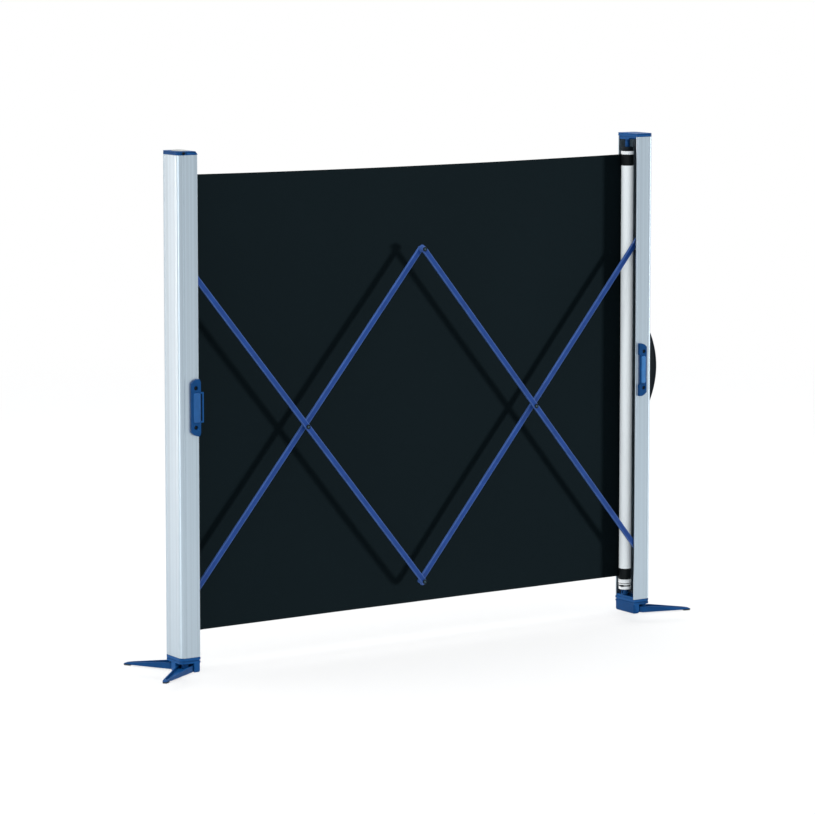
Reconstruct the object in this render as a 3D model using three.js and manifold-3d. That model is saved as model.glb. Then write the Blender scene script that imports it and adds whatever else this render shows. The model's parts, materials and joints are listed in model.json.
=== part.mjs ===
// Roll-up banner stand that opens sideways: a leading post is pulled away from the roller post, a double
// scissor spreads between them, and the banner unrolls from a vertical sprung roller. Both posts stand on
// swing-out feet. Millimetres, +Z up, +X from the leading post to the roller post, -Y is the back.
// The origin is on the floor under the middle of the roller post.
import * as THREE from "three";
import { mergeVertices } from "three/addons/utils/BufferGeometryUtils.js";
import Module from "manifold-3d";

const wasm = await Module();
wasm.setup();

// Driving dimensions.
const GAP = 0.3; // left between pieces that touch
const POST = { width: 39, depth: 60, length: 890, wall: 2, radius: 9.5 };
const BASE_HEIGHT = 27.5;
const CAP_HEIGHT = 6.5;
const CAP_PLUG = 3; // how far a cap reaches into its post
const SPREAD = 997; // between the post centres with the stand open
const CLOSED_SPREAD = 41; // and with it closed
const BANNER = { height: 820, thickness: 1, depth: 53.2 }; // depth is measured from the back faces
const ROLLER = { x: -12, depth: 40, tubeOut: 10.8, tubeIn: 9.2, wound: 12.4 };
const ARM = { width: 10, thickness: 5, nearDepth: 5, farDepth: 16.6, hole: 2.3 };
const PIVOT = { inset: 16.5, low: 112, high: 728 }; // inset is measured from a post's outer face
const SPACER = { radius: 6, nose: 3, rise: 7.5 }; // plate between the two arms of a middle joint
const PIN = { shank: 2, shoulder: 4, head: 4.2, headHeight: 1.6 };
const FOOT = { inset: 12, fromFace: 8, length: 96, hub: 13.5, toe: 4.6, low: 1.9, high: 12.8, toeHigh: 5.4 };
const FOOT_BOSS = { radius: 6.6, high: 16.7 }; // stands on a foot's hub, round its pin
const FOOT_ROOM = { high: 17.2, across: 26.3, along: 22.3 }; // corner pocket of a base
const FOOT_REST = { leading_rear: 38, leading_front: 53, roller_rear: 21, roller_front: 53 };
const LATCH = { low: 422.5, high: 523.5, thickness: 5, slant: 7.5, screwLow: 438, screwHigh: 508 };
const LATCH_PLACE = { leading: { outer: 22, inner: 40, screw: 30.5 }, roller: { outer: 16, inner: 33.4, screw: 22.6 } };
const TONGUE = { low: 446, high: 500, reach: 7.2, thickness: 2 };
const HANDLE = { low: 395, high: 553, reach: 27, width: 20, thickness: 2.6, tab: 18 };

// Worked out from them.
const POST_LOW = BASE_HEIGHT;
const POST_HIGH = POST_LOW + POST.length;
const CAP_TOP = POST_HIGH + CAP_HEIGHT;
const BANNER_LOW = (POST_LOW + POST_HIGH - BANNER.height) / 2;
const BANNER_HIGH = BANNER_LOW + BANNER.height;
const MIDDLE_X = -SPREAD / 2;
const MIDDLE_LAYER = {
  near: ARM.nearDepth + ARM.thickness + GAP,
  far: ARM.farDepth - GAP,
};
const POSTS = [
  { name: "leading", side: -1, x: -SPREAD },
  { name: "roller", side: 1, x: 0 },
];

const MATERIALS = {
  aluminium: material(0xc0ccd6, 0.35, 0.9),
  blue: material(0x20508a, 0.45, 0),
  pale: material(0xd8dee2, 0.5, 0),
  steel: material(0x9aa3aa, 0.3, 1),
  rubber: material(0x33393d, 0.85, 0),
  strap: material(0x10181f, 0.7, 0),
  banner: material(0x10171b, 0.8, 0),
};

const stand = new THREE.Group();

function material(color, roughness, metalness) {
  return new THREE.MeshStandardMaterial({ color, roughness, metalness });
}

// Solids.

function toSolid(geometry) {
  const bare = geometry.clone();
  bare.deleteAttribute("normal");
  bare.deleteAttribute("uv");
  const merged = mergeVertices(bare, 1e-4);
  const index = Array.from(merged.index.array);
  const faces = [];
  for (let i = 0; i < index.length; i += 3) {
    const [a, b, c] = index.slice(i, i + 3);
    if (a !== b && b !== c && a !== c) faces.push([a, b, c]);
  }
  const points = merged.attributes.position.array;
  const ordered = signedVolume(points, faces) < 0 ? faces.map(([a, b, c]) => [a, c, b]) : faces;
  const mesh = new wasm.Mesh({
    numProp: 3,
    vertProperties: Float32Array.from(points),
    triVerts: Uint32Array.from(ordered.flat()),
  });
  return new wasm.Manifold(mesh);
}

function signedVolume(points, faces) {
  const corner = (i) => new THREE.Vector3(points[3 * i], points[3 * i + 1], points[3 * i + 2]);
  return faces.reduce((sum, [a, b, c]) => sum + corner(a).dot(corner(b).cross(corner(c))), 0);
}

function toGeometry(solid) {
  const mesh = solid.getMesh();
  const geometry = new THREE.BufferGeometry();
  geometry.setAttribute("position", new THREE.BufferAttribute(mesh.vertProperties, 3));
  geometry.setIndex(new THREE.BufferAttribute(mesh.triVerts, 1));
  geometry.computeVertexNormals();
  return geometry;
}

function cut(body, ...tools) {
  return toGeometry(tools.reduce((solid, tool) => solid.subtract(toSolid(tool)), toSolid(body)));
}

function join(...bodies) {
  return toGeometry(bodies.slice(1).reduce((solid, body) => solid.add(toSolid(body)), toSolid(bodies[0])));
}

function add(name, geometry, finish) {
  const mesh = new THREE.Mesh(toGeometry(toSolid(geometry)), MATERIALS[finish]);
  mesh.name = name;
  stand.add(mesh);
  return mesh;
}

// Shapes. A depth is measured from the back faces of the posts towards the front.

function y(depth) {
  return depth - POST.depth / 2;
}

function prism(shape, low, high, curveSegments = 6) {
  const geometry = new THREE.ExtrudeGeometry(shape, { depth: high - low, bevelEnabled: false, curveSegments });
  return geometry.translate(0, 0, low);
}

// A shape drawn in X and Z, as thick as the stretch between two depths.
function plate(shape, near, far, curveSegments = 8) {
  const geometry = new THREE.ExtrudeGeometry(shape, { depth: far - near, bevelEnabled: false, curveSegments });
  return geometry.rotateX(Math.PI / 2).translate(0, y(far), 0);
}

function block(x0, x1, depth0, depth1, z0, z1) {
  const geometry = new THREE.BoxGeometry(Math.abs(x1 - x0), depth1 - depth0, z1 - z0);
  return geometry.translate((x0 + x1) / 2, y((depth0 + depth1) / 2), (z0 + z1) / 2);
}

// A turned piece along +Z: each section is [radius, start, end].
function turned(sections, segments = 16) {
  const profile = [new THREE.Vector2(0, sections[0][1])];
  for (const [radius, start, end] of sections) {
    profile.push(new THREE.Vector2(radius, start));
    profile.push(new THREE.Vector2(radius, end));
  }
  profile.push(new THREE.Vector2(0, sections.at(-1)[2]));
  return new THREE.LatheGeometry(profile, segments).rotateX(Math.PI / 2);
}

function ring(inner, outer, low, high, segments = 32) {
  const corners = [[inner, low], [outer, low], [outer, high], [inner, high], [inner, low]];
  const profile = corners.map(([radius, height]) => new THREE.Vector2(radius, height));
  return new THREE.LatheGeometry(profile, segments).rotateX(Math.PI / 2);
}

// The same, turned to point along +Y from depth 0.
function turnedDeep(sections, x, z, segments = 12) {
  return turned(sections, segments).rotateX(-Math.PI / 2).translate(x, y(0), z);
}

function stadium(length, radius, holes, holeRadius) {
  const shape = new THREE.Shape();
  shape.absarc(length / 2, 0, radius, -Math.PI / 2, Math.PI / 2);
  shape.absarc(-length / 2, 0, radius, Math.PI / 2, (3 * Math.PI) / 2);
  shape.closePath();
  for (const x of holes) {
    const hole = new THREE.Path();
    hole.absarc(x, 0, holeRadius, 0, 2 * Math.PI);
    shape.holes.push(hole);
  }
  return shape;
}

// Posts, caps and bases.

// X of a point that lies inset from the outer face of a post.
function fromOuter(post, inset) {
  return post.x + post.side * (POST.width / 2 - inset);
}

// Plan of a post: round at the two outer corners, square at the open inner side.
function postOutline(post, inset, inner = 0) {
  const radius = POST.radius - inset;
  const edge = POST.width - inner;
  const points = [new THREE.Vector2(edge, inset)];
  for (const [depth, start] of [[POST.radius, 1.5], [POST.depth - POST.radius, 1]]) {
    for (let step = 0; step <= 6; step += 1) {
      const angle = (start - step / 12) * Math.PI;
      points.push(new THREE.Vector2(POST.radius + radius * Math.cos(angle), depth + radius * Math.sin(angle)));
    }
  }
  points.push(new THREE.Vector2(edge, POST.depth - inset));
  return points.map((point) => new THREE.Vector2(fromOuter(post, point.x), y(point.y)));
}

function postProfile(post) {
  const inside = postOutline(post, POST.wall).reverse();
  return new THREE.Shape([...postOutline(post, 0), ...inside]);
}

function addPost(post) {
  const holes = latchScrewPlaces(post).map(([x, z]) => turnedDeep([[1.9, -1, 4]], x, z));
  const channel = prism(postProfile(post), POST_LOW, POST_HIGH);
  add(`${post.name}_post`, cut(channel, ...holes, ...(post.side > 0 ? handleHoles() : [])), "aluminium");
}

function addCap(post) {
  const cover = prism(new THREE.Shape(postOutline(post, 0)), POST_HIGH + GAP, CAP_TOP);
  const plug = prism(new THREE.Shape(postOutline(post, POST.wall + GAP, 1)), POST_HIGH - CAP_PLUG, POST_HIGH + 1);
  add(`${post.name}_cap`, join(cover, plug), "blue");
}

function addBase(post) {
  const body = prism(new THREE.Shape(postOutline(post, 0)), 0, BASE_HEIGHT - GAP);
  const collar = prism(new THREE.Shape(postOutline(post, POST.wall + GAP, 1)), BASE_HEIGHT - 1, BASE_HEIGHT + 4);
  const tools = [];
  for (const near of [true, false]) {
    const depths = near ? [-1, FOOT_ROOM.along] : [POST.depth - FOOT_ROOM.along, POST.depth + 1];
    tools.push(block(fromOuter(post, -1), fromOuter(post, FOOT_ROOM.across), ...depths, -1, FOOT_ROOM.high));
    const pinDepth = near ? FOOT.fromFace : POST.depth - FOOT.fromFace;
    const hole = turned([[2.8, FOOT_ROOM.high - 1, BASE_HEIGHT - 3]]);
    tools.push(hole.translate(fromOuter(post, FOOT.inset), y(pinDepth), 0));
  }
  add(`${post.name}_base`, cut(join(body, collar), ...tools), "blue");
}

function addCapTrim() {
  const [leading] = POSTS;
  const profile = [[0, 0], [20, 0], [20, 0.9], [15, 2.2], [8, 3.1], [0, 3.4]];
  const dome = new THREE.LatheGeometry(profile.map(([radius, height]) => new THREE.Vector2(radius, height)), 24);
  dome.rotateX(Math.PI / 2).scale(0.62, 1, 1).translate(leading.x, 0, CAP_TOP + GAP);
  add("leading_cap_insert", dome, "pale");
  const screw = turnedDeep([[2.8, -1.6, -GAP]], fromOuter(leading, 11), POST_HIGH + 3.4);
  add("leading_cap_screw", screw, "steel");
}

// Scissor: four arms in two layers, a spacer at each middle joint, a slider and a fixed bracket in each post.

const PIVOT_SPAN = SPREAD + POST.width - 2 * PIVOT.inset;
const HALF_REACH = PIVOT_SPAN / 4;
const HALF_RISE = (PIVOT.high - PIVOT.low) / 2;
const ARM_LENGTH = 2 * Math.hypot(HALF_REACH, HALF_RISE);
const ARM_ANGLE = Math.atan2(HALF_RISE, HALF_REACH);
const CLOSED_REACH = (CLOSED_SPREAD + POST.width - 2 * PIVOT.inset) / 2;
const SLIDER_TOP = PIVOT.low + Math.sqrt(ARM_LENGTH ** 2 - CLOSED_REACH ** 2);

function armCentre(post) {
  return [fromOuter(post, PIVOT.inset) - post.side * HALF_REACH, (PIVOT.low + PIVOT.high) / 2];
}

function addArm(name, post, angle, nearDepth) {
  const ends = ARM_LENGTH / 2;
  const shape = stadium(ARM_LENGTH, ARM.width / 2, [-ends, 0, ends], ARM.hole);
  const arm = plate(shape, nearDepth, nearDepth + ARM.thickness, 5);
  const [x, z] = armCentre(post);
  arm.rotateY(-angle).translate(x, 0, z);
  add(name, arm, "blue");
}

// A round boss with a rounded nose that points up or down.
function spacerShape(direction) {
  const { radius, nose, rise } = SPACER;
  const corner = Math.asin((radius - nose) / (rise - nose));
  const shape = new THREE.Shape();
  shape.absarc(0, 0, radius, Math.PI - corner, 2 * Math.PI + corner);
  shape.absarc(0, rise - nose, nose, corner, Math.PI - corner);
  shape.closePath();
  const hole = new THREE.Path();
  hole.absarc(0, 0, ARM.hole, 0, 2 * Math.PI);
  shape.holes.push(hole);
  const plan = plate(shape, MIDDLE_LAYER.near, MIDDLE_LAYER.far, 5);
  return direction < 0 ? plan.rotateY(Math.PI) : plan;
}

function addMiddleJoints() {
  for (const [name, z, direction] of [["upper", PIVOT.high, 1], ["lower", PIVOT.low, -1]]) {
    add(`${name}_spacer`, spacerShape(direction).translate(MIDDLE_X, 0, z), "blue");
    add(`${name}_middle_pin`, throughPin(PIN.shank, MIDDLE_X, z), "steel");
  }
}

// A pin headed in front of the near arm, and one headed behind the far arm.
function nearPin(x, z, end) {
  const face = ARM.nearDepth - GAP;
  return turnedDeep([[PIN.head, face - PIN.headHeight, face], [PIN.shank, face, end]], x, z);
}

function farPin(x, z, start) {
  const face = ARM.farDepth + ARM.thickness + GAP;
  return turnedDeep([[PIN.shank, start, face], [PIN.head, face, face + PIN.headHeight]], x, z);
}

// A pin through both layers, headed at each end. A wider middle keeps two arms apart.
function throughPin(middle, x, z) {
  const front = ARM.nearDepth - GAP;
  const back = ARM.farDepth + ARM.thickness + GAP;
  const sections = [
    [PIN.head, front - PIN.headHeight, front],
    [PIN.shank, front, MIDDLE_LAYER.near],
    [middle, MIDDLE_LAYER.near, MIDDLE_LAYER.far],
    [PIN.shank, MIDDLE_LAYER.far, back],
    [PIN.head, back, back + PIN.headHeight],
  ];
  return turnedDeep(sections, x, z);
}

function addCrossingPin(post) {
  add(`${post.name}_crossing_pin`, throughPin(PIN.shoulder, ...armCentre(post)), "steel");
}

// Plan of a slider, with the two jaws that run on the rail.
function sliderPlan(post) {
  const { near, far } = MIDDLE_LAYER;
  const half = [
    [23, near], [8.5, near], [8.5, near - 4], [2.8, near - 4], [2.8, near - 2], [6, near - 2],
  ];
  const mirrored = half.map(([inset, depth]) => [inset, near + far - depth]).reverse();
  const corners = [...half, ...mirrored];
  return new THREE.Shape(corners.map(([inset, depth]) => new THREE.Vector2(fromOuter(post, inset), y(depth))));
}

function addPivotHardware(post) {
  const x = fromOuter(post, PIVOT.inset);
  const { near, far } = MIDDLE_LAYER;
  const hole = (z) => turnedDeep([[ARM.hole, near - 1, far + 1]], x, z);
  const slider = prism(sliderPlan(post), PIVOT.high - 8, PIVOT.high + 8);
  add(`${post.name}_slider`, cut(slider, hole(PIVOT.high)), "blue");
  const rail = block(fromOuter(post, 2.3), fromOuter(post, 5.3), near - 1.4, far + 1.4, 690, SLIDER_TOP + 8.2);
  add(`${post.name}_slider_rail`, rail, "aluminium");
  const bracket = block(fromOuter(post, 2.3), fromOuter(post, 23), near, far, PIVOT.low - 9, PIVOT.low + 9);
  add(`${post.name}_pivot_bracket`, cut(bracket, hole(PIVOT.low)), "blue");
  // The falling arms are in the near layer and the rising arms in the far one.
  const nearHeight = post.side < 0 ? PIVOT.high : PIVOT.low;
  const farHeight = post.side < 0 ? PIVOT.low : PIVOT.high;
  const names = post.side < 0 ? ["slider", "bracket"] : ["bracket", "slider"];
  add(`${post.name}_${names[0]}_pin`, nearPin(x, nearHeight, far - 0.8), "steel");
  add(`${post.name}_${names[1]}_pin`, farPin(x, farHeight, near + 0.8), "steel");
}

function addScissor() {
  const [leading, roller] = POSTS;
  addArm("leading_falling_arm", leading, -ARM_ANGLE, ARM.nearDepth);
  addArm("leading_rising_arm", leading, ARM_ANGLE, ARM.farDepth);
  addArm("roller_falling_arm", roller, -ARM_ANGLE, ARM.nearDepth);
  addArm("roller_rising_arm", roller, ARM_ANGLE, ARM.farDepth);
  addMiddleJoints();
  for (const post of POSTS) {
    addCrossingPin(post);
    addPivotHardware(post);
  }
}

// Latch plates on the back faces: the leading one has a tongue, the roller one a notch that takes it.

function latchScrewPlaces(post) {
  const x = fromOuter(post, LATCH_PLACE[post.name].screw);
  return [[x, LATCH.screwLow], [x, LATCH.screwHigh]];
}

function latchShape(post) {
  const { outer, inner } = LATCH_PLACE[post.name];
  const { low, high, slant } = LATCH;
  const corners = [
    [inner, low], [outer + 11, low], [outer + 5, low + 2.4], [outer, low + slant],
    [outer, high - slant], [outer + 5, high - 2.4], [outer + 11, high], [inner, high],
  ];
  if (post.side > 0) {
    corners.push([inner, TONGUE.high + 1.5], [inner - 3, TONGUE.high + 1.5]);
    corners.push([inner - 3, TONGUE.low - 1.5], [inner, TONGUE.low - 1.5]);
  }
  const shape = new THREE.Shape(corners.map(([inset, z]) => new THREE.Vector2(fromOuter(post, inset), z)));
  for (const [x, z] of latchScrewPlaces(post)) {
    const hole = new THREE.Path();
    hole.absarc(x, z, 1.9, 0, 2 * Math.PI);
    shape.holes.push(hole);
  }
  return shape;
}

function addLatch(post) {
  const { inner, outer } = LATCH_PLACE[post.name];
  const body = plate(latchShape(post), -GAP - LATCH.thickness, -GAP);
  const ridge = block(
    fromOuter(post, outer + 1.5), fromOuter(post, outer + 5),
    -GAP - LATCH.thickness - 2.2, -GAP - LATCH.thickness + 1, TONGUE.low, TONGUE.high,
  );
  const pieces = [body, ridge];
  if (post.side < 0) {
    const tip = fromOuter(post, inner + TONGUE.reach);
    pieces.push(block(fromOuter(post, inner - 1), tip, -GAP - 0.3 - TONGUE.thickness, -GAP - 0.3, TONGUE.low, TONGUE.high));
  }
  add(`${post.name}_latch`, join(...pieces), "blue");
  latchScrewPlaces(post).forEach(([x, z], place) => {
    const front = -GAP - LATCH.thickness - GAP;
    const screw = turnedDeep([[3.2, front - 1.6, front], [1.6, front, 3]], x, z);
    add(`${post.name}_latch_screw_${place ? "upper" : "lower"}`, screw, "steel");
  });
}

// Carrying handle: a strap on the outer face of the roller post, held by an end plate at each end.

const HANDLE_ENDS = [HANDLE.low - HANDLE.tab / 2, HANDLE.high + HANDLE.tab / 2];

function handleHoles() {
  return HANDLE_ENDS.map((z) => studBody(z, 1.9));
}

function studBody(z, radius) {
  const wall = fromOuter(POSTS[1], POST.wall + 1);
  return turned([[radius, 0, 8]], 12).rotateY(Math.PI / 2).translate(wall, 0, z);
}

function strapOutline(offset) {
  const face = fromOuter(POSTS[1], 0) + GAP;
  const points = [new THREE.Vector2(face + offset, HANDLE.low - HANDLE.tab)];
  const steps = 18;
  for (let step = 0; step <= steps; step += 1) {
    const share = step / steps;
    const bulge = (HANDLE.reach - HANDLE.thickness) * Math.sin(Math.PI * share) ** 0.8;
    points.push(new THREE.Vector2(face + offset + bulge, HANDLE.low + share * (HANDLE.high - HANDLE.low)));
  }
  points.push(new THREE.Vector2(face + offset, HANDLE.high + HANDLE.tab));
  return points;
}

function addHandle() {
  const outline = [...strapOutline(0), ...strapOutline(HANDLE.thickness).reverse()];
  const middle = POST.depth / 2;
  const strap = plate(new THREE.Shape(outline), middle - HANDLE.width / 2, middle + HANDLE.width / 2);
  add("handle_strap", cut(strap, ...handleHoles()), "strap");
  const face = fromOuter(POSTS[1], 0) + HANDLE.thickness + 2 * GAP;
  HANDLE_ENDS.forEach((z, place) => {
    const clamp = block(face, face + 3, middle - 11, middle + 11, z - 8, z + 8);
    const stud = studBody(z, 1.6);
    add(`handle_end_plate_${place ? "upper" : "lower"}`, join(clamp, stud), "blue");
  });
}

// Feet: each swings on an upright pin in a corner pocket of its base.

function footShape(start, hubRadius, toeRadius, end) {
  const lean = Math.asin((hubRadius - toeRadius) / (end - start));
  const shape = new THREE.Shape();
  shape.absarc(start, 0, hubRadius, Math.PI / 2 - lean, (3 * Math.PI) / 2 + lean);
  shape.absarc(end, 0, toeRadius, -Math.PI / 2 + lean, Math.PI / 2 - lean);
  shape.closePath();
  return shape;
}

// A wedge of space above the sloping top of a foot.
function aboveFoot() {
  const slope = [[FOOT.hub, FOOT.high], [FOOT.length, FOOT.toeHigh], [FOOT.length, 30], [FOOT.hub, 30]];
  const shape = new THREE.Shape(slope.map(([x, z]) => new THREE.Vector2(x, z)));
  return plate(shape, 0, POST.depth);
}

function footBody() {
  const toe = FOOT.length - 15;
  const whole = prism(footShape(0, FOOT.hub, FOOT.toe, FOOT.length - 8), FOOT.low, FOOT.high);
  const trough = prism(footShape(24, 7.2, 3.2, toe - 8), FOOT.low + 3, 30);
  const nose = block(toe, FOOT.length + 10, 0, POST.depth, -5, 30);
  const boss = turned([[FOOT_BOSS.radius, FOOT.low + 3, FOOT_BOSS.high]]);
  const bore = turned([[5.3, -1, FOOT.low + 2.1], [2.8, FOOT.low + 2.1, 30]]);
  return cut(join(cut(whole, aboveFoot(), trough, nose), boss), bore);
}

function footTip() {
  const start = FOOT.length - 15 + GAP;
  const outline = [[start, 0], [FOOT.length - 4, 0], [FOOT.length, 1.4], [start, FOOT.toeHigh + 1.2]];
  const side = new THREE.Shape(outline.map(([x, z]) => new THREE.Vector2(x, z)));
  const wedge = toSolid(plate(side, 0, POST.depth));
  const plan = toSolid(prism(footShape(0, FOOT.hub, FOOT.toe, FOOT.length - FOOT.toe), 0, 30));
  return toGeometry(wedge.intersect(plan));
}

function addFoot(post, end) {
  const name = `${post.name}_${end}`;
  const across = THREE.MathUtils.degToRad(FOOT_REST[name]);
  const front = end === "front" ? 1 : -1;
  const angle = Math.atan2(front * Math.sin(across), post.side * Math.cos(across));
  const x = fromOuter(post, FOOT.inset);
  const depth = front > 0 ? POST.depth - FOOT.fromFace : FOOT.fromFace;
  const place = (geometry) => geometry.rotateZ(angle).translate(x, y(depth), 0);
  add(`${name}_foot`, place(footBody()), "blue");
  add(`${name}_foot_tip`, place(footTip()), "rubber");
  const pin = turned([[4.9, FOOT.low + GAP, FOOT.low + 1.8], [2.5, FOOT.low + 1.8, BASE_HEIGHT - 3 - GAP]], 12);
  add(`${name}_foot_pin`, place(pin), "steel");
}

// Roller, banner and what carries them.

function atRoller(geometry) {
  return geometry.translate(ROLLER.x, y(ROLLER.depth), 0);
}

function spring() {
  const turns = 9;
  const steps = 108;
  const [low, high, radius] = [700, 850, 6.2];
  const points = [];
  for (let step = 0; step <= steps; step += 1) {
    const angle = (2 * Math.PI * turns * step) / steps;
    const z = low + ((high - low) * step) / steps;
    points.push(new THREE.Vector3(radius * Math.cos(angle), radius * Math.sin(angle), z));
  }
  const wire = new THREE.Shape();
  wire.absarc(0, 0, 0.9, 0, 2 * Math.PI);
  const path = new THREE.CatmullRomCurve3(points);
  return new THREE.ExtrudeGeometry(wire, { steps, extrudePath: path, curveSegments: 3 });
}

function addRoller() {
  const { tubeIn, tubeOut, wound } = ROLLER;
  add("roller_tube", atRoller(ring(tubeIn, tubeOut, BANNER_LOW, BANNER_HIGH, 24)), "aluminium");
  add("wound_banner", atRoller(ring(tubeOut + GAP, wound, BANNER_LOW, BANNER_HIGH, 36)), "banner");
  const upper = turned([[tubeIn - GAP, BANNER_HIGH - 22, BANNER_HIGH + GAP], [wound, BANNER_HIGH + GAP, BANNER_HIGH + 6.5]], 24);
  const bore = turned([[3.2, BANNER_HIGH - 30, BANNER_HIGH + 10]], 12);
  add("roller_upper_plug", atRoller(cut(upper, bore)), "pale");
  const low = BANNER_LOW - GAP;
  const lower = [
    [3, low - 29, low - 20.5], [6.5, low - 20.5, low - 19], [11.4, low - 19, low - 13.5], [8, low - 13.5, low - 11],
    [11, low - 11, low - 5.5], [wound, low - 5.5, low], [tubeIn - GAP, low, low + 22],
  ];
  add("roller_lower_plug", atRoller(turned(lower, 24)), "pale");
  const shoulder = BANNER_HIGH + 6.5 + GAP;
  const spindle = [
    [2.8, 690, shoulder], [10.8, shoulder, shoulder + 8], [4.4, shoulder + 8, POST_HIGH - CAP_PLUG - GAP],
  ];
  add("roller_spindle", atRoller(turned(spindle)), "blue");
  add("torsion_spring", atRoller(spring()), "steel");
  const socketLow = BASE_HEIGHT + 4 + GAP;
  const socket = ring(3.4, 7.2, socketLow, low - 20.5 - GAP, 20);
  const slot = new THREE.BoxGeometry(4, 20, 8).translate(0, 0, low - 20.5);
  add("roller_socket", atRoller(cut(socket, slot)), "blue");
}

function addBanner() {
  const [leading] = POSTS;
  const clampEnd = fromOuter(leading, 20);
  const { depth, thickness } = BANNER;
  const strip = block(fromOuter(leading, 10), clampEnd, depth - 5, depth + 4.5, BANNER_LOW - 4, BANNER_HIGH + 4);
  add("banner_clamp", strip, "aluminium");
  const sheet = block(clampEnd + GAP, ROLLER.x, depth - thickness / 2, depth + thickness / 2, BANNER_LOW, BANNER_HIGH);
  add("banner_sheet", sheet, "banner");
}

for (const post of POSTS) {
  addPost(post);
  addCap(post);
  addBase(post);
  addLatch(post);
  addFoot(post, "rear");
  addFoot(post, "front");
}
addCapTrim();
addScissor();
addHandle();
addRoller();
addBanner();

export default stand;
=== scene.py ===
"""Looks of a sideways-opening roll-up banner stand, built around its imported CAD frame.

Sizes written with MM are millimetres. An inset is measured from a post's outer face towards its open side,
and a depth from the back faces towards the front.
"""

import json
import math

import bmesh
import bpy
from mathutils import Matrix, Vector

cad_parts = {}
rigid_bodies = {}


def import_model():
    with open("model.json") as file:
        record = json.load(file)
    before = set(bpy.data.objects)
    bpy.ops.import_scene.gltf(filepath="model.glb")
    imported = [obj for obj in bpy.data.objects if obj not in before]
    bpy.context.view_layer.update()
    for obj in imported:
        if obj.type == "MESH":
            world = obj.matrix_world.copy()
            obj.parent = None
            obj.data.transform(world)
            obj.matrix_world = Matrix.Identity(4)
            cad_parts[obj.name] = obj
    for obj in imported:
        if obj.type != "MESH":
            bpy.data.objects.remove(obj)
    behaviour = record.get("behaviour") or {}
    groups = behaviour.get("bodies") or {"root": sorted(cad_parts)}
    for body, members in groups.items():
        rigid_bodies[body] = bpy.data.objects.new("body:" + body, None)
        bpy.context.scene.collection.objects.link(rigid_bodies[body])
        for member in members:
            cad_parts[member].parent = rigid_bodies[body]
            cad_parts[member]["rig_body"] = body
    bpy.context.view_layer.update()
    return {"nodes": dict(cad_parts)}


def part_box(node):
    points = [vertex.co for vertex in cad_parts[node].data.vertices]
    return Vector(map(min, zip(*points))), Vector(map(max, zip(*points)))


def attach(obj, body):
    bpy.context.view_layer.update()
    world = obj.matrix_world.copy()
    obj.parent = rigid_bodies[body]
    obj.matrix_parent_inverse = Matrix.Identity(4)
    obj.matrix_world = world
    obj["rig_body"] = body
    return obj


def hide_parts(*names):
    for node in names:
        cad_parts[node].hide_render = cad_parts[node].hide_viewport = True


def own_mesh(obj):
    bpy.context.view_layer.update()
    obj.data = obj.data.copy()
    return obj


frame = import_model()

MM = 0.001
GAP = 0.3 * MM
POST_WALL = 2 * MM
POST_RADIUS = 9.5 * MM

CAMERA_PLACE = (-3.9843, -5.2966, 1.3063)
CAMERA_YAW = 33.188
CAMERA_PITCH = 5.828
CAMERA_LENS = 153.43
CAMERA_SHIFT = -0.1497


# --- Places ---


class Post:
    """One of the two posts: where its faces are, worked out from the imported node."""

    def __init__(self, name, side):
        low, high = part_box(f"{name}_post")
        self.name = name
        self.side = side
        self.outer = high.x if side > 0 else low.x
        self.back = low.y
        self.low = low.z
        self.high = high.z
        self.width = high.x - low.x
        self.depth = high.y - low.y

    def x(self, inset):
        return self.outer - self.side * inset

    def y(self, depth):
        return self.back + depth

    def xy(self, points):
        return [(self.x(inset), self.y(depth)) for inset, depth in points]


POSTS = [Post("leading", -1), Post("roller", 1)]
LEADING, ROLLER = POSTS


# --- Shapes ---


def mm(*points):
    """Points given in millimetres, as points in metres."""
    return [tuple(value * MM for value in point) for point in points]


def rectangle(x0, x1, y0, y1):
    return [(x0, y0), (x1, y0), (x1, y1), (x0, y1)]


def arc(centre, radius, start, end, steps):
    """Points of an arc, with its angles in degrees."""
    angles = [math.radians(start + (end - start) * step / steps) for step in range(steps + 1)]
    return [(centre[0] + radius * math.cos(a), centre[1] + radius * math.sin(a)) for a in angles]


def rounded(corners, radius=0, steps=5):
    """A closed outline whose corners are rounded. A corner may carry its own radius as a third value."""
    points = []
    count = len(corners)
    for index, corner in enumerate(corners):
        here = Vector(corner[:2])
        before = Vector(corners[index - 1][:2]) - here
        after = Vector(corners[(index + 1) % count][:2]) - here
        half = before.angle(after) / 2
        own = corner[2] if len(corner) > 2 else radius
        if own <= 0 or half > math.radians(88):
            points.append(tuple(here))
            continue
        run = min(own / math.tan(half), before.length * 0.48, after.length * 0.48)
        own = run * math.tan(half)
        centre = here + (before.normalized() + after.normalized()).normalized() * (own / math.sin(half))
        start = here + before.normalized() * run - centre
        end = here + after.normalized() * run - centre
        sweep = start.angle_signed(end)
        for step in range(steps + 1):
            turn = Matrix.Rotation(-sweep * step / steps, 2)
            points.append(tuple(centre + turn @ start))
    return points


def prism(points, low, high):
    """A solid with an outline in X and Y."""
    return extrude(points, low, high, lambda a, b, c: (a, b, c))


def slab(points, near, far):
    """A solid with an outline in X and Z, between two values of Y."""
    return extrude(points, near, far, lambda a, b, c: (a, c, b))


def extrude(points, start, end, place):
    """A solid between two copies of an outline. place turns (a, b, height) into a point."""
    shape = bmesh.new()
    ends = [[shape.verts.new(place(a, b, c)) for a, b in points] for c in (start, end)]
    shape.faces.new(ends[0])
    shape.faces.new(list(reversed(ends[1])))
    count = len(points)
    for index in range(count):
        after = (index + 1) % count
        shape.faces.new([ends[0][after], ends[0][index], ends[1][index], ends[1][after]])
    bmesh.ops.recalc_face_normals(shape, faces=shape.faces)
    return shape


def block(x0, x1, y0, y1, low, high):
    return prism(rectangle(x0, x1, y0, y1), low, high)


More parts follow.
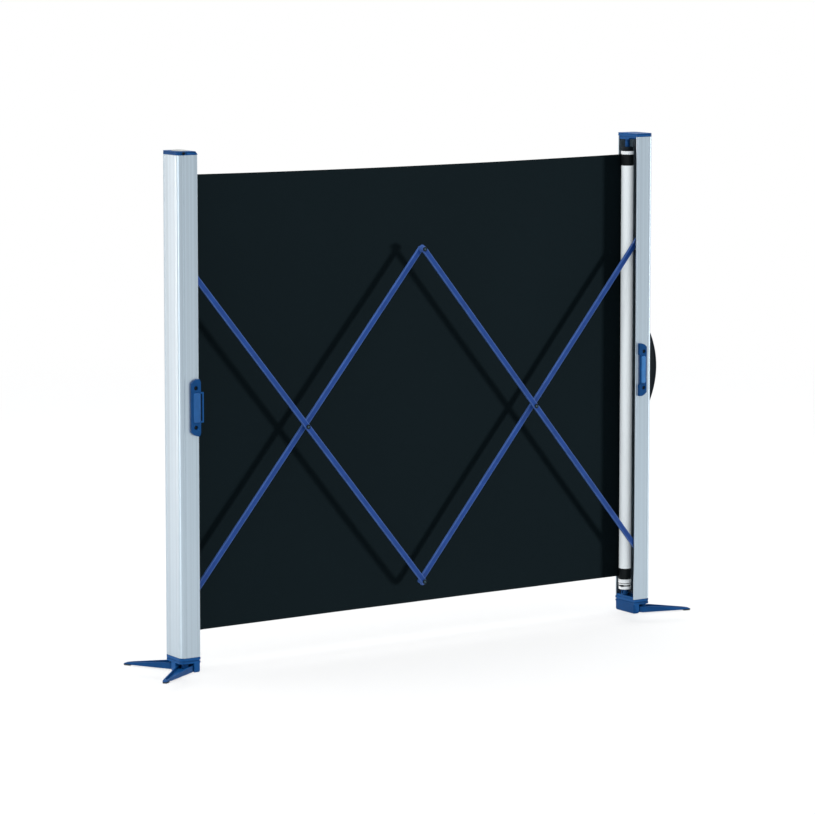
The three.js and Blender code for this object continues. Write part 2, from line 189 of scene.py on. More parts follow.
def turned(profile, segments=40, closed=False):
    """A turned solid about Z: the profile is (radius, height) pairs, and closed makes a ring of it."""
    shape = bmesh.new()
    rings = []
    for radius, height in profile:
        if radius < 1e-7:
            rings.append([shape.verts.new((0, 0, height))])
            continue
        angles = [2 * math.pi * step / segments for step in range(segments)]
        rings.append([shape.verts.new((radius * math.cos(a), radius * math.sin(a), height)) for a in angles])
    pairs = list(zip(rings, rings[1:]))
    if closed:
        pairs.append((rings[-1], rings[0]))
    for lower, upper in pairs:
        for step in range(segments):
            after = (step + 1) % segments
            corners = [(lower, step), (lower, after), (upper, after), (upper, step)]
            verts = [ring[index % len(ring)] for ring, index in corners]
            shape.faces.new(list(dict.fromkeys(verts)))
    bmesh.ops.recalc_face_normals(shape, faces=shape.faces)
    return shape


def moved(shape, place=(0, 0, 0), turn=None):
    """The shape itself, first turned and then moved to place."""
    matrix = Matrix.Translation(Vector(place)) @ (turn or Matrix.Identity(4))
    bmesh.ops.transform(shape, matrix=matrix, verts=shape.verts)
    return shape


TO_Y = Matrix.Rotation(-math.pi / 2, 4, "X")
FROM_Y = Matrix.Rotation(math.pi / 2, 4, "X")
TO_X = Matrix.Rotation(math.pi / 2, 4, "Y")


def about_z(angle):
    return Matrix.Rotation(angle, 4, "Z")


def together(*shapes):
    """Several closed shapes in one mesh."""
    mesh = bpy.data.meshes.new("together")
    whole = bmesh.new()
    for shape in shapes:
        shape.to_mesh(mesh)
        whole.from_mesh(mesh)
    bpy.data.meshes.remove(mesh)
    return whole


def scratch_object(shape):
    mesh = bpy.data.meshes.new("scratch")
    shape.to_mesh(mesh)
    obj = bpy.data.objects.new("scratch", mesh)
    bpy.context.scene.collection.objects.link(obj)
    return obj


def combine(body, tools, operation):
    """The body joined with, or cut by, each of the tools."""
    main = scratch_object(body)
    others = [scratch_object(tool) for tool in tools]
    for other in others:
        step = main.modifiers.new("step", "BOOLEAN")
        step.operation = operation
        step.solver = "EXACT"
        step.object = other
    made = bmesh.new()
    made.from_mesh(evaluated_mesh(main))
    bmesh.ops.dissolve_limit(made, angle_limit=math.radians(0.5), verts=made.verts, edges=made.edges)
    for obj in [main, *others]:
        bpy.data.objects.remove(obj)
    return made


def cut(body, *tools):
    return combine(body, tools, "DIFFERENCE")


def join(body, *tools):
    return combine(body, tools, "UNION")


def evaluated_mesh(obj):
    graph = bpy.context.evaluated_depsgraph_get()
    return bpy.data.meshes.new_from_object(obj.evaluated_get(graph))


# --- Materials ---


class Nodes:
    """A new material's node tree, with a short way to add and link nodes."""

    def __init__(self, name, color, roughness, metallic=0.0, **inputs):
        self.material = bpy.data.materials.new(name)
        self.material.use_nodes = True
        self.material.diffuse_color = (*color, 1)
        self.tree = self.material.node_tree
        self.shader = self.tree.nodes["Principled BSDF"]
        self.shader.inputs["Base Color"].default_value = (*color, 1)
        self.shader.inputs["Roughness"].default_value = roughness
        self.shader.inputs["Metallic"].default_value = metallic
        for key, value in inputs.items():
            self.shader.inputs[key.replace("_", " ")].default_value = value

    def add(self, kind, **inputs):
        node = self.tree.nodes.new(kind)
        for key, value in inputs.items():
            node.inputs[key.replace("_", " ")].default_value = value
        return node

    def link(self, source, target):
        self.tree.links.new(source, target)

    def place(self, scale):
        """Object coordinates in metres, times a scale for each axis."""
        mapping = self.add("ShaderNodeMapping", Scale=scale)
        self.link(self.add("ShaderNodeTexCoord").outputs["Object"], mapping.inputs["Vector"])
        return mapping.outputs["Vector"]

    def noise(self, scale, stretch=(1, 1, 1), detail=3.0):
        node = self.add("ShaderNodeTexNoise", Scale=scale, Detail=detail)
        self.link(self.place(stretch), node.inputs["Vector"])
        return node.outputs["Fac"]

    def ramp(self, source, low, high, start=0.3, end=0.7):
        """Colours from low to high as source goes from start to end."""
        node = self.add("ShaderNodeValToRGB")
        stops = node.color_ramp.elements
        stops[0].position, stops[1].position = start, end
        stops[0].color, stops[1].color = (*low, 1), (*high, 1)
        self.link(source, node.inputs["Fac"])
        return node.outputs["Color"]

    def shades(self, source, color, low, high, start=0.3, end=0.7):
        """The colour times low, rising with source to the colour times high."""
        return self.ramp(source, scaled(color, low), scaled(color, high), start, end)

    def calculate(self, operation, first, second):
        """A Math node's result for a socket and another socket or a number."""
        node = self.add("ShaderNodeMath")
        node.operation = operation
        self.link(first, node.inputs[0])
        if isinstance(second, float):
            node.inputs[1].default_value = second
        else:
            self.link(second, node.inputs[1])
        return node.outputs["Value"]

    def spread(self, source, low, high):
        """Source, which goes from 0 to 1, spread between two values."""
        node = self.add("ShaderNodeMapRange", To_Min=low, To_Max=high)
        self.link(source, node.inputs["Value"])
        return node.outputs["Result"]

    def mix(self, share, first, second):
        node = self.add("ShaderNodeMix")
        node.data_type = "RGBA"
        self.link(share, node.inputs[0])
        self.link(first, node.inputs[6])
        self.link(second, node.inputs[7])
        return node.outputs[2]

    def highlight_edges(self):
        """From 0 on flat faces to 1 on outward edges: the mask of a painted edge highlight."""
        geometry = self.add("ShaderNodeNewGeometry")
        return self.ramp(geometry.outputs["Pointiness"], (0, 0, 0), (1, 1, 1), 0.54, 0.62)

    def bump(self, height, strength, distance):
        node = self.add("ShaderNodeBump", Strength=strength, Distance=distance)
        self.link(height, node.inputs["Height"])
        self.link(node.outputs["Normal"], self.shader.inputs["Normal"])

    def set(self, name, source):
        self.link(source, self.shader.inputs[name])


def scaled(color, factor):
    return tuple(channel * factor for channel in color)


def aluminium(name, color):
    """Satin anodised extrusion, with faint die lines that run up the post."""
    nodes = Nodes(name, color, 0.34, 0.9)
    lines = nodes.noise(1.0, (2600, 2600, 2.5), 2.0)
    bands = nodes.noise(1.0, (330, 330, 0.4), 1.0)
    nodes.set("Base Color", nodes.shades(bands, color, 0.92, 1.07))
    nodes.set("Roughness", nodes.spread(lines, 0.27, 0.4))
    nodes.bump(lines, 0.06, 0.0002)
    return nodes.material


def moulded(name, color, edge, roughness, specular):
    """Moulded plastic: fine spark-eroded texture, faint flow clouds and paler edges, which are a painted
    highlight where light would catch them.
    """
    nodes = Nodes(name, color, roughness, Specular_IOR_Level=specular)
    cloud = nodes.noise(90.0, detail=2.0)
    body = nodes.shades(cloud, color, 0.9, 1.1)
    # edge is the paler colour of the painted edge highlight, mixed in on outward edges.
    painted_highlight = nodes.shades(nodes.noise(400.0), edge, 1, 1.15)
    nodes.set("Base Color", nodes.mix(nodes.highlight_edges(), body, painted_highlight))
    grain = nodes.noise(2600.0, detail=1.0)
    nodes.set("Roughness", nodes.spread(grain, roughness - 0.06, roughness + 0.08))
    nodes.bump(grain, 0.12, 0.0001)
    return nodes.material


def enamel(name, color):
    """Blue stove enamel with a light orange peel."""
    nodes = Nodes(name, color, 0.4, Specular_IOR_Level=0.2)
    cloud = nodes.noise(45.0, detail=2.0)
    nodes.set("Base Color", nodes.shades(cloud, color, 0.88, 1.12))
    nodes.bump(nodes.noise(700.0, detail=1.0), 0.08, 0.0002)
    return nodes.material


def steel(name, color, roughness):
    """Plated steel with turning marks."""
    nodes = Nodes(name, color, roughness, 1.0)
    marks = nodes.noise(900.0, (1, 1, 3), 2.0)
    nodes.set("Roughness", nodes.spread(marks, roughness - 0.05, roughness + 0.1))
    nodes.set("Base Color", nodes.shades(marks, color, 0.85, 1.1))
    nodes.bump(marks, 0.05, 0.0001)
    return nodes.material


def rubber():
    color = (0.028, 0.034, 0.038)
    nodes = Nodes("tip_rubber", color, 0.8)
    grain = nodes.noise(1500.0)
    nodes.set("Base Color", nodes.shades(grain, color, 0.8, 1.25))
    nodes.set("Roughness", nodes.spread(grain, 0.7, 0.9))
    nodes.bump(grain, 0.25, 0.0002)
    return nodes.material


def strap_plastic():
    """Flexible black strap with a fine leather-like grain."""
    color = (0.004, 0.008, 0.012)
    nodes = Nodes("strap", color, 0.5, Specular_IOR_Level=0.12)
    grain = nodes.add("ShaderNodeTexVoronoi", Scale=900.0)
    nodes.link(nodes.place((1, 1, 1)), grain.inputs["Vector"])
    cells = grain.outputs["Distance"]
    nodes.set("Base Color", nodes.shades(cells, color, 0.8, 1.2, 0, 0.6))
    nodes.set("Roughness", nodes.spread(cells, 0.42, 0.6))
    nodes.bump(cells, 0.15, 0.0002)
    return nodes.material


def woven(nodes, tint):
    """Adds a plain weave to a fabric: its bump, and a faint change of the tint between threads."""
    waves = []
    for direction in ("X", "Z"):
        wave = nodes.add("ShaderNodeTexWave", Scale=314.0)
        wave.bands_direction = direction
        nodes.link(nodes.place((1, 1, 1)), wave.inputs["Vector"])
        waves.append(wave.outputs["Fac"])
    weave = nodes.calculate("MULTIPLY", *waves)
    nodes.bump(weave, 0.06, 0.0002)
    return nodes.shades(weave, tint, 0.9, 1.1, 0, 1)


def banner_back():
    """Black coated back of the banner."""
    color = (0.0024, 0.0052, 0.0066)
    nodes = Nodes("banner_back", color, 0.75, Specular_IOR_Level=0.015)
    cloud = nodes.noise(3.0, detail=2.0)
    threads = woven(nodes, color)
    soft = nodes.shades(cloud, color, 0.93, 1.07)
    share = nodes.spread(nodes.noise(60.0), 0.3, 0.7)
    nodes.set("Base Color", nodes.mix(share, threads, soft))
    return nodes.material


def banner_front(low, high, border):
    """White face with a black border along its top and bottom, between the heights low and high."""
    color = (0.78, 0.83, 0.85)
    nodes = Nodes("banner_front", color, 0.6, Specular_IOR_Level=0.1)
    split = nodes.add("ShaderNodeSeparateXYZ")
    nodes.link(nodes.place((1, 1, 1)), split.inputs["Vector"])
    height = split.outputs["Z"]
    above_border = nodes.calculate("GREATER_THAN", height, low + border)
    below_border = nodes.calculate("LESS_THAN", height, high - border)
    black = nodes.ramp(nodes.noise(60.0), (0.003, 0.0048, 0.0055), (0.004, 0.006, 0.007))
    share = nodes.calculate("MULTIPLY", above_border, below_border)
    nodes.set("Base Color", nodes.mix(share, black, woven(nodes, color)))
    return nodes.material


BANNER_LOW, BANNER_HIGH = (corner.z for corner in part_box("banner_sheet"))
BORDER = 21 * MM

MATERIALS = {
    "anodised_aluminium": aluminium("anodised_aluminium", (0.535, 0.63, 0.70)),
    # The next one is a darker copy of the anodised aluminium, painted shade for the faces inside the posts.
    "post_inside": aluminium("post_inside", (0.29, 0.35, 0.39)),
    # The second colour of each moulded plastic is painted on its outward edges as a highlight.
    "blue_plastic": moulded("blue_plastic", (0.004, 0.056, 0.190), (0.008, 0.078, 0.25), 0.38, 0.1),
    # arm_web and arm_rim are a darker and a paler copy of one blue enamel: the paler rim paints the highlight
    # along the arms' edges.
    "arm_web": enamel("arm_web", (0.010, 0.051, 0.235)),
    "arm_rim": enamel("arm_rim", (0.052, 0.118, 0.355)),
    "grip_blue": moulded("grip_blue", (0.012, 0.092, 0.28), (0.030, 0.15, 0.38), 0.34, 0.25),
    # The next one is a paler copy of the grip blue: a painted highlight for the roller latch's grip, lit from
    # the right.
    "pale_blue": moulded("pale_blue", (0.042, 0.18, 0.45), (0.060, 0.22, 0.52), 0.34, 0.25),
    "pale_plastic": moulded("pale_plastic", (0.70, 0.74, 0.76), (0.78, 0.81, 0.82), 0.4, 0.5),
    "grey_plastic": moulded("grey_plastic", (0.36, 0.37, 0.36), (0.42, 0.43, 0.42), 0.4, 0.3),
    "steel": steel("steel", (0.48, 0.51, 0.53), 0.3),
    "dark_steel": steel("dark_steel", (0.02, 0.026, 0.032), 0.45),
    "rivet_steel": steel("rivet_steel", (0.07, 0.13, 0.16), 0.3),
    "tip_rubber": rubber(),
    "strap": strap_plastic(),
    "banner_back": banner_back(),
    "banner_front": banner_front(BANNER_LOW, BANNER_HIGH, BORDER),
}


# --- Pieces ---


def piece(name, shape, node, finish, bevel, replaces=None):
    """Makes the shape a piece that rides with the CAD node's body and, unless told otherwise, replaces it.

    Its edges are rounded by the bevel, which is in millimetres.
    """
    obj = scratch_object(shape)
    shape.free()
    obj.data.materials.append(MATERIALS[finish])
    if bevel:
        edges = obj.modifiers.new("edges", "BEVEL")
        edges.width = bevel * MM
        edges.segments = 3
        edges.limit_method = "ANGLE"
        edges.angle_limit = math.radians(35)
    finish_piece(obj, name, 38)
    obj.modifiers.new("normals", "WEIGHTED_NORMAL").keep_sharp = True
    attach(obj, frame["nodes"][node]["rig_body"])
    nodes = (node,) if replaces is None else replaces
    if nodes:
        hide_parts(*nodes)
    return obj


def finish_piece(obj, name, sharp_angle):
    """Applies the object's modifiers, names it and marks its sharp edges."""
    mesh = evaluated_mesh(obj)
    obj.modifiers.clear()
    obj.data = mesh
    obj.name = name
    obj.data.name = name
    obj.data.shade_smooth()
    obj.data.set_sharp_from_angle(angle=math.radians(sharp_angle))


def notch(place):
    """Three points of a V groove, 2 mm wide and 0.7 mm deep, across an outline along its first value."""
    return [(place - 1 * MM, 0.0), (place, 0.7 * MM), (place + 1 * MM, 0.0)]


def post_outer(post, inset=0.0, end=0.0):
    """The round-cornered outer plan of a post, drawn in by an inset and shortened at its open end."""
    radius = POST_RADIUS - inset
    edge = post.width - end
    points = [(edge, inset)]
    points += arc((POST_RADIUS, POST_RADIUS), radius, 270, 180, 12)
    points += arc((POST_RADIUS, post.depth - POST_RADIUS), radius, 180, 90, 12)
    return post.xy(points + [(edge, post.depth - inset)])


def post_profile(post):
    """Section of a post: a channel with fine grooves outside and thickened lips at its open side."""
    edge, deep = post.width, post.depth
    lip_round = 1.2 * MM
    outside = arc((edge - lip_round, lip_round), lip_round, 360, 270, 4)
    for place in (edge - 4.2 * MM, POST_RADIUS + 1.2 * MM):
        outside += reversed(notch(place))
    outside += arc((POST_RADIUS, POST_RADIUS), POST_RADIUS, 270, 180, 12)
    for place in (POST_RADIUS + 1.2 * MM, deep - POST_RADIUS - 1.6 * MM):
        outside += [(depth, along) for along, depth in notch(place)]
    outside += arc((POST_RADIUS, deep - POST_RADIUS), POST_RADIUS, 180, 90, 12)
    for place in (POST_RADIUS + 1.2 * MM, edge - 4.2 * MM):
        outside += [(along, deep - depth) for along, depth in notch(place)]
    outside += arc((edge - lip_round, deep - lip_round), lip_round, 90, 0, 4)
    lip, lip_start = 2.7 * MM, edge - 3 * MM
    inner = POST_RADIUS - POST_WALL
    inside = [(edge, deep - lip), (lip_start, deep - lip), (lip_start - 1 * MM, deep - POST_WALL)]
    inside += arc((POST_RADIUS, deep - POST_RADIUS), inner, 90, 180, 8)
    inside += arc((POST_RADIUS, POST_RADIUS), inner, 180, 270, 8)
    inside += [(lip_start - 1 * MM, POST_WALL), (lip_start, lip), (edge, lip)]
    return post.xy(outside + inside)


def screw_boss(post, depth):
    """An open C-shaped screw channel in a corner of the extrusion."""
    centre = (5.4 * MM, depth)
    turn = 45 if depth < post.depth / 2 else -45
    outer = arc(centre, 3.1 * MM, turn + 35, turn + 325, 20)
    inner = arc(centre, 1.7 * MM, turn + 325, turn + 35, 20)
    return prism(post.xy(outer + inner), post.low + 6 * MM, post.high - 6 * MM)


def buried(post, point):
    """How far a point lies under a post's rounded outer faces, up to the radius of their corners."""
    depth = point.y - post.back
    from_side = max(POST_RADIUS - abs(point.x - post.outer), 0)
    from_face = max(POST_RADIUS - min(depth, post.depth - depth), 0)
    return POST_RADIUS - math.hypot(from_side, from_face)


def make_post(post):
    """A post, whose inner faces are darker than its outer ones: a darker copy of the aluminium paints the
    shade inside the channel.
    """
    shell = prism(post_profile(post), post.low, post.high)
    bosses = [screw_boss(post, depth) for depth in (5.4 * MM, post.depth - 5.4 * MM)]
    body = together(shell, *bosses)
    obj = piece(f"{post.name}_post_shell", body, f"{post.name}_post", "anodised_aluminium", 0.25)
    # Faces inside the channel take the darker copy of the aluminium: painted shade.
    obj.data.materials.append(MATERIALS["post_inside"])
    for face in obj.data.polygons:
        if buried(post, face.center) > POST_WALL - 0.1 * MM:
            face.material_index = 1


def make_cap(post):
    """A cap: a cover with a groove round it, a plug in the post and, clear of the slider, a deeper lip."""
    low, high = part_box(f"{post.name}_cap")
    seat = post.high + GAP
    cover = prism(post_outer(post), seat, high.z)
    core = prism(post_outer(post, 0.9 * MM, 0.5 * MM), high.z - 2.4 * MM, high.z - 1.6 * MM)
    groove = cut(prism(post_outer(post, -1 * MM), high.z - 2.4 * MM, high.z - 1.8 * MM), core)
    plug_plan = post_outer(post, 2.4 * MM, 1.2 * MM)
    plug = prism(plug_plan, low.z, seat + 1 * MM)
    front = post.xy(rectangle(-1 * MM, post.width + 1 * MM, 28 * MM, post.depth))
    lip = combine(
        prism(plug_plan, low.z - 2.8 * MM, low.z + 0.5 * MM),
        [prism(front, low.z - 4 * MM, low.z + 1 * MM)], "INTERSECT",
    )
    body = cut(join(cover, plug, lip), groove)
    if post is LEADING:
        body = cut(body, cap_recess(post, seat), cap_slant(post, high.z))
    piece(f"{post.name}_cap_cover", body, f"{post.name}_cap", "blue_plastic", 0.7)


def cap_recess(post, seat):
    """A shallow recess round the cap screw in the back face of the leading cap."""
    x = post.x(11 * MM)
    outline = rectangle(x - 6 * MM, x + 7 * MM, seat + 1.2 * MM, seat + 3.6 * MM)
    return slab(outline, post.y(-2 * MM), post.y(0.9 * MM))


def cap_slant(post, top):
    """The wedge that slants the open end of the leading cap."""
    edge = post.width
    slant = [(edge - 4 * MM, top), (edge, top - 5 * MM), (edge + 9 * MM, top), (edge, top + 9 * MM)]
    return slab([(post.x(inset), z) for inset, z in slant], post.y(-2 * MM), post.y(post.depth + 2 * MM))


def make_cap_trim():
    """The pale dome on the leading cap and the screw in the cap's edge."""
    low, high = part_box("leading_cap_insert")
    middle = (low + high) / 2
    reach, height = high.y - middle.y, high.z - low.z - 1.6 * MM
    steps = 10
    angles = [math.pi / 2 * step / steps for step in range(1, steps)]
    dome = [(reach * math.cos(a), height * math.sin(a) ** 0.9) for a in angles]
    shape = turned([(0, 0), (reach, 0)] + dome + [(0, height)], 48)
    squeeze = Matrix.Scale((high.x - low.x) / (high.y - low.y), 4, (1, 0, 0))
    shape = moved(shape, (middle.x, middle.y, low.z), squeeze)
    piece("leading_cap_dome", shape, "leading_cap_insert", "grey_plastic", 0.3)
    low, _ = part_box("leading_cap_screw")
    middle = centre("leading_cap_screw")
    make_screw("leading_cap_screw", (middle.x, low.y, middle.z), 2.8 * MM, 1.3 * MM)


def cross_slot(radius, depth):
    """The cross recess of a screw, pointing along +Y from its face at Y 0."""
    arm = radius * 0.16
    bars = [block(-radius * 0.6, radius * 0.6, -1 * MM, depth, -arm, arm)]
    bars.append(block(-arm, arm, -1 * MM, depth, -radius * 0.6, radius * 0.6))
    return bars


def make_screw(node, face, radius, height):
    """A pan-head screw, seen from the back, with a cross recess."""
    profile = [(0, 0), (0.72, 0.12), (0.95, 0.55), (1, 1), (0, 1)]
    head = turned([(radius * r, height * z) for r, z in profile], 32)
    head = cut(moved(head, turn=TO_Y), *cross_slot(radius, 0.7 * height))
    piece(f"{node}_head", moved(head, face), node, "dark_steel", 0)


def base_plan(post, inset):
    """The lower plan of a base: the block between the two foot pockets and the solid open-side end."""
    pocket_inset, pocket_depth = 26.3 * MM, 22.3 * MM
    edge = post.width - inset
    side, step = pocket_inset + inset, pocket_depth + inset
    rear = [(edge, inset, 3 * MM), (side, inset, 1 * MM), (side, step, 3 * MM), (inset, step, 2 * MM)]
    front = [(x, post.depth - y, radius) for x, y, radius in reversed(rear)]
    return post.xy(rounded(rear + front))


def base_hood(post):
    """The upper part of a base, as a post's plan with a groove line just under the aluminium."""
    seat = post.low - GAP
    hood = prism(post_outer(post), 17.2 * MM, seat)
    rim = prism(post_outer(post, -1 * MM, -1 * MM), 20.6 * MM, 22.6 * MM)
    core = prism(post_outer(post, 1.4 * MM, 1.4 * MM), 20.3 * MM, 22.9 * MM)
    return cut(hood, cut(rim, core))


def make_base(post):
    """A base: a block with rounded lower edges, a hood under the post and a collar inside it."""
    _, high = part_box(f"{post.name}_base")
    steps = 5
    radius = 4.2 * MM
    foot = [prism(base_plan(post, 0.0), radius, 17.6 * MM)]
    for step in range(steps):
        angles = [math.pi / 2 * (step + k) / steps for k in (0, 1)]
        heights = [radius * (1 - math.cos(a)) for a in angles]
        inset = radius * (1 - math.sin(angles[1])) * 0.8
        foot.append(prism(base_plan(post, inset), heights[0], heights[1] + 0.05 * MM))
    collar = prism(post_outer(post, 2.4 * MM, 1.2 * MM), post.low - 2 * MM, high.z)
    well = rectangle(post.width - 22 * MM, post.width - 5 * MM, 10 * MM, post.depth - 10 * MM)
    well_cut = prism(post.xy(rounded(well, 3 * MM)), high.z - 2.2 * MM, high.z + 2 * MM)
    upper = cut(join(base_hood(post), collar), well_cut)
    lower = join(foot[0], *foot[1:])
    knuckles = [pocket_knuckle(post, end) for end in ("rear", "front")]
    body = join(upper, lower, *knuckles)
    piece(f"{post.name}_base_body", body, f"{post.name}_base", "blue_plastic", 0.7)


def pocket_knuckle(post, end):
    """The boss that holds a foot's pin in the roof of its pocket."""
    middle = centre(f"{post.name}_{end}_foot_pin")
    profile = mm((2.8, 16.95), (6.4, 16.95), (7.4, 19), (2.8, 19))
    return moved(turned(profile, 32, closed=True), (middle.x, middle.y, 0))


# Scissor.


def rod(radius, low, high, segments):
    """A plain round rod along Z."""
    return turned([(0, low), (radius, low), (radius, high), (0, high)], segments)


def pivot_hole(x):
    """The bore of a pivot, through Y at the given X."""
    return moved(rod(2.3 * MM, 0, 20 * MM, 24), (x, -10 * MM, 0), TO_Y)


def make_arm(node, first_pin, last_pin):
    """A flat bar with rounded ends, paler at the rim along each edge of its faces than on the web between:
    the pale rim is a painted highlight of light catching the edges.
    """
    low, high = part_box(node)
    start, end = centre(first_pin), centre(last_pin)
    along = Vector((end.x - start.x, end.z - start.z))
    lean = Matrix.Rotation(-math.atan2(along.y, along.x), 4, "Y")
    middle = Vector(((start.x + end.x) / 2, (low.y + high.y) / 2, (start.z + end.z) / 2))
    half = along.length / 2
    thick = (high.y - low.y) / 2

    def bar(radius, near, far):
        outline = arc((half, 0), radius, -90, 90, 14) + arc((-half, 0), radius, 90, 270, 14)
        solid = cut(slab(outline, near, far), *[pivot_hole(x) for x in (-half, 0, half)])
        return moved(solid, middle, lean)

    # The bar takes the paler blue as a painted edge highlight; the thin web panels keep the middle of each
    # face in the darker copy.
    piece(f"{node}_bar", bar(5 * MM, -thick, thick), node, "arm_rim", 0.9)
    web = 3.5 * MM
    inner, outer = thick - 0.4 * MM, thick + 0.06 * MM
    panels = together(bar(web, -outer, -inner), bar(web, inner, outer))
    piece(f"{node}_web", panels, node, "arm_web", 0, replaces=())


def centre(node):
    low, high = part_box(node)
    return (low + high) / 2


def make_scissor():
    """The four arms, the spacers at the two middle joints and the rivets."""
    make_arm("leading_falling_arm", "leading_slider_pin", "lower_middle_pin")
    make_arm("leading_rising_arm", "leading_bracket_pin", "upper_middle_pin")
    make_arm("roller_falling_arm", "upper_middle_pin", "roller_bracket_pin")
    make_arm("roller_rising_arm", "lower_middle_pin", "roller_slider_pin")
    for level, direction in (("upper", 1), ("lower", -1)):
        make_spacer(level, direction)
    for node in ("leading_slider_pin", "roller_bracket_pin"):
        make_rivet(node, heads=("near",))
    for node in ("leading_bracket_pin", "roller_slider_pin"):
        make_rivet(node, heads=("far",))
    for name in ("leading_crossing", "roller_crossing", "upper_middle", "lower_middle"):
        make_rivet(f"{name}_pin", heads=("near", "far"))


def make_spacer(level, direction):
    """The plate between the two arms of a middle joint: a round boss with a rounded nose."""
    node = f"{level}_spacer"
    low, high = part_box(node)
    pin = centre(f"{level}_middle_pin")
    radius, nose, rise = 6 * MM, 3 * MM, 7.5 * MM
    corner = math.degrees(math.asin((radius - nose) / (rise - nose)))
    outline = arc((0, 0), radius, 180 - corner, 360 + corner, 20)
    outline += arc((0, rise - nose), nose, corner, 180 - corner, 8)
    outline = [(pin.x + x, pin.z + direction * z) for x, z in outline]
    hole = moved(pivot_hole(pin.x), (0, low.y + 5 * MM, pin.z))
    piece(f"{node}_plate", cut(slab(outline, low.y, high.y), hole), node, "arm_rim", 0.7)


RIVET_WASHER = mm((2.1, 0.88), (2.604, 0), (3.612, 0), (4.2, 0.56), (4.2, 1.6), (1.26, 1.6), (1.26, 0.88))
RIVET_DOME = mm((0, 0.15), (1.176, 0.3), (1.848, 0.8), (1.848, 1.6), (0, 1.6))


def make_rivet(node, heads):
    """A pin with a dark ringed washer and a bright domed centre at each head."""
    low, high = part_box(node)
    middle = (low + high) / 2
    shank = rod(1.9 * MM, 0.2 * MM, high.y - low.y - 0.2 * MM, 24)
    parts = [moved(shank, (middle.x, low.y, middle.z), TO_Y)]
    rings = []
    for head in heads:
        flip = head == "far"
        turn = FROM_Y if flip else TO_Y
        spot = (middle.x, high.y if flip else low.y, middle.z)
        rings.append(moved(turned(RIVET_WASHER, 36, closed=True), spot, turn))
        parts.append(moved(turned(RIVET_DOME, 24), spot, turn))
    piece(f"{node}_rivet", together(*parts), node, "rivet_steel", 0)
    piece(f"{node}_washer", together(*rings), node, "dark_steel", 0, replaces=())


def smoothed_copy(name, node, finish, bevel, angle):
    """The CAD node's own shape with its facets merged and its edges rounded."""
    shape = bmesh.new()
    shape.from_mesh(frame["nodes"][node].data)
    bmesh.ops.remove_doubles(shape, verts=shape.verts, dist=1e-6)
    bmesh.ops.dissolve_limit(shape, angle_limit=math.radians(angle), verts=shape.verts, edges=shape.edges)
    return piece(name, shape, node, finish, bevel)


def make_pivot_hardware(post):
    smoothed_copy(f"{post.name}_slider_block", f"{post.name}_slider", "blue_plastic", 0.6, 2)
    smoothed_copy(f"{post.name}_pivot_block", f"{post.name}_pivot_bracket", "blue_plastic", 0.8, 2)
    low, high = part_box(f"{post.name}_slider_rail")
    outline = rounded(rectangle(low.x, high.x, low.y, high.y), 0.8 * MM)
    rail = prism(outline, low.z, high.z)
    piece(f"{post.name}_slider_track", rail, f"{post.name}_slider_rail", "anodised_aluminium", 0.4)


# Latches.


LATCH_INSETS = {LEADING: (22 * MM, 40 * MM), ROLLER: (16 * MM, 33.4 * MM)}


def latch_outline(post):
    """Outline in X and Z of a latch plate: slanted outer corners and, on the roller side, a notch."""
    low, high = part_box(f"{post.name}_latch")
    outer, inner = LATCH_INSETS[post]
    lower = [(outer + 11 * MM, low.z, 5 * MM), (outer + 5 * MM, low.z + 2.4 * MM, 5 * MM)]
    lower.append((outer, low.z + 7 * MM, 1.5 * MM))
    upper = [(inset, low.z + high.z - z, radius) for inset, z, radius in reversed(lower)]
    if post is LEADING:
        corners = [(inner, low.z + 6 * MM, 4 * MM), (inner - 2 * MM, low.z, 2 * MM)] + lower
        corners += upper + [(inner - 2 * MM, high.z, 2 * MM), (inner, high.z - 6 * MM, 4 * MM)]
    else:
        top, bottom, notch_end = 501.5 * MM, 444.5 * MM, inner - 3 * MM
        corners = [(inner, low.z, 1 * MM)] + lower + upper + [(inner, high.z, 1 * MM), (inner, top, 0.5 * MM)]
        corners += [(notch_end, top, 1 * MM), (notch_end, bottom, 1 * MM), (inner, bottom, 0.5 * MM)]
    return [(post.x(inset), z) for inset, z in rounded(corners, 1 * MM, 6)]


def make_latch(post):
    """A latch half: its plate with two screw wells, a raised grip and, on the leading post, the tongue."""
    back, face = post.y(-0.3 * MM), post.y(-5.3 * MM)
    body = slab(latch_outline(post), face, back)
    node = f"{post.name}_latch"
    screws = [f"{node}_screw_{end}" for end in ("lower", "upper")]
    wells = []
    for screw in screws:
        spot = centre(screw)
        well = turned(mm((0, 0), (4.1, 0), (3.7, 3.4), (0, 3.4)), 32)
        wells.append(moved(well, (spot.x, face - 1 * MM, spot.z), TO_Y))
    if post is LEADING:
        body = join(body, tongue(post))
    piece(f"{node}_plate", cut(body, *wells), node, "blue_plastic", 0.6)
    # The roller latch's grip takes the paler copy of the grip blue, a painted highlight.
    finish = "pale_blue" if post is ROLLER else "grip_blue"
    piece(f"{node}_grip", latch_ridge(post, face), node, finish, 0.3, replaces=())
    for screw in screws:
        spot = centre(screw)
        make_screw(screw, (spot.x, face + 0.9 * MM, spot.z), 3.2 * MM, 1.4 * MM)


def latch_ridge(post, face):
    """The raised grip panel between the screws, tapered at both ends."""
    near, far = (25 * MM, 38.2 * MM) if post is LEADING else (19.6 * MM, 29 * MM)
    corners = rectangle(post.x(near), post.x(far), 447 * MM, 499 * MM)
    ridge = slab(rounded(corners, 3 * MM), face - 2.2 * MM, face + 1 * MM)
    edges = [edge for edge in ridge.edges if all(vert.co.y < face for vert in edge.verts)]
    bmesh.ops.bevel(ridge, geom=edges, offset=1.6 * MM, segments=3, profile=0.5, affect="EDGES")
    return ridge


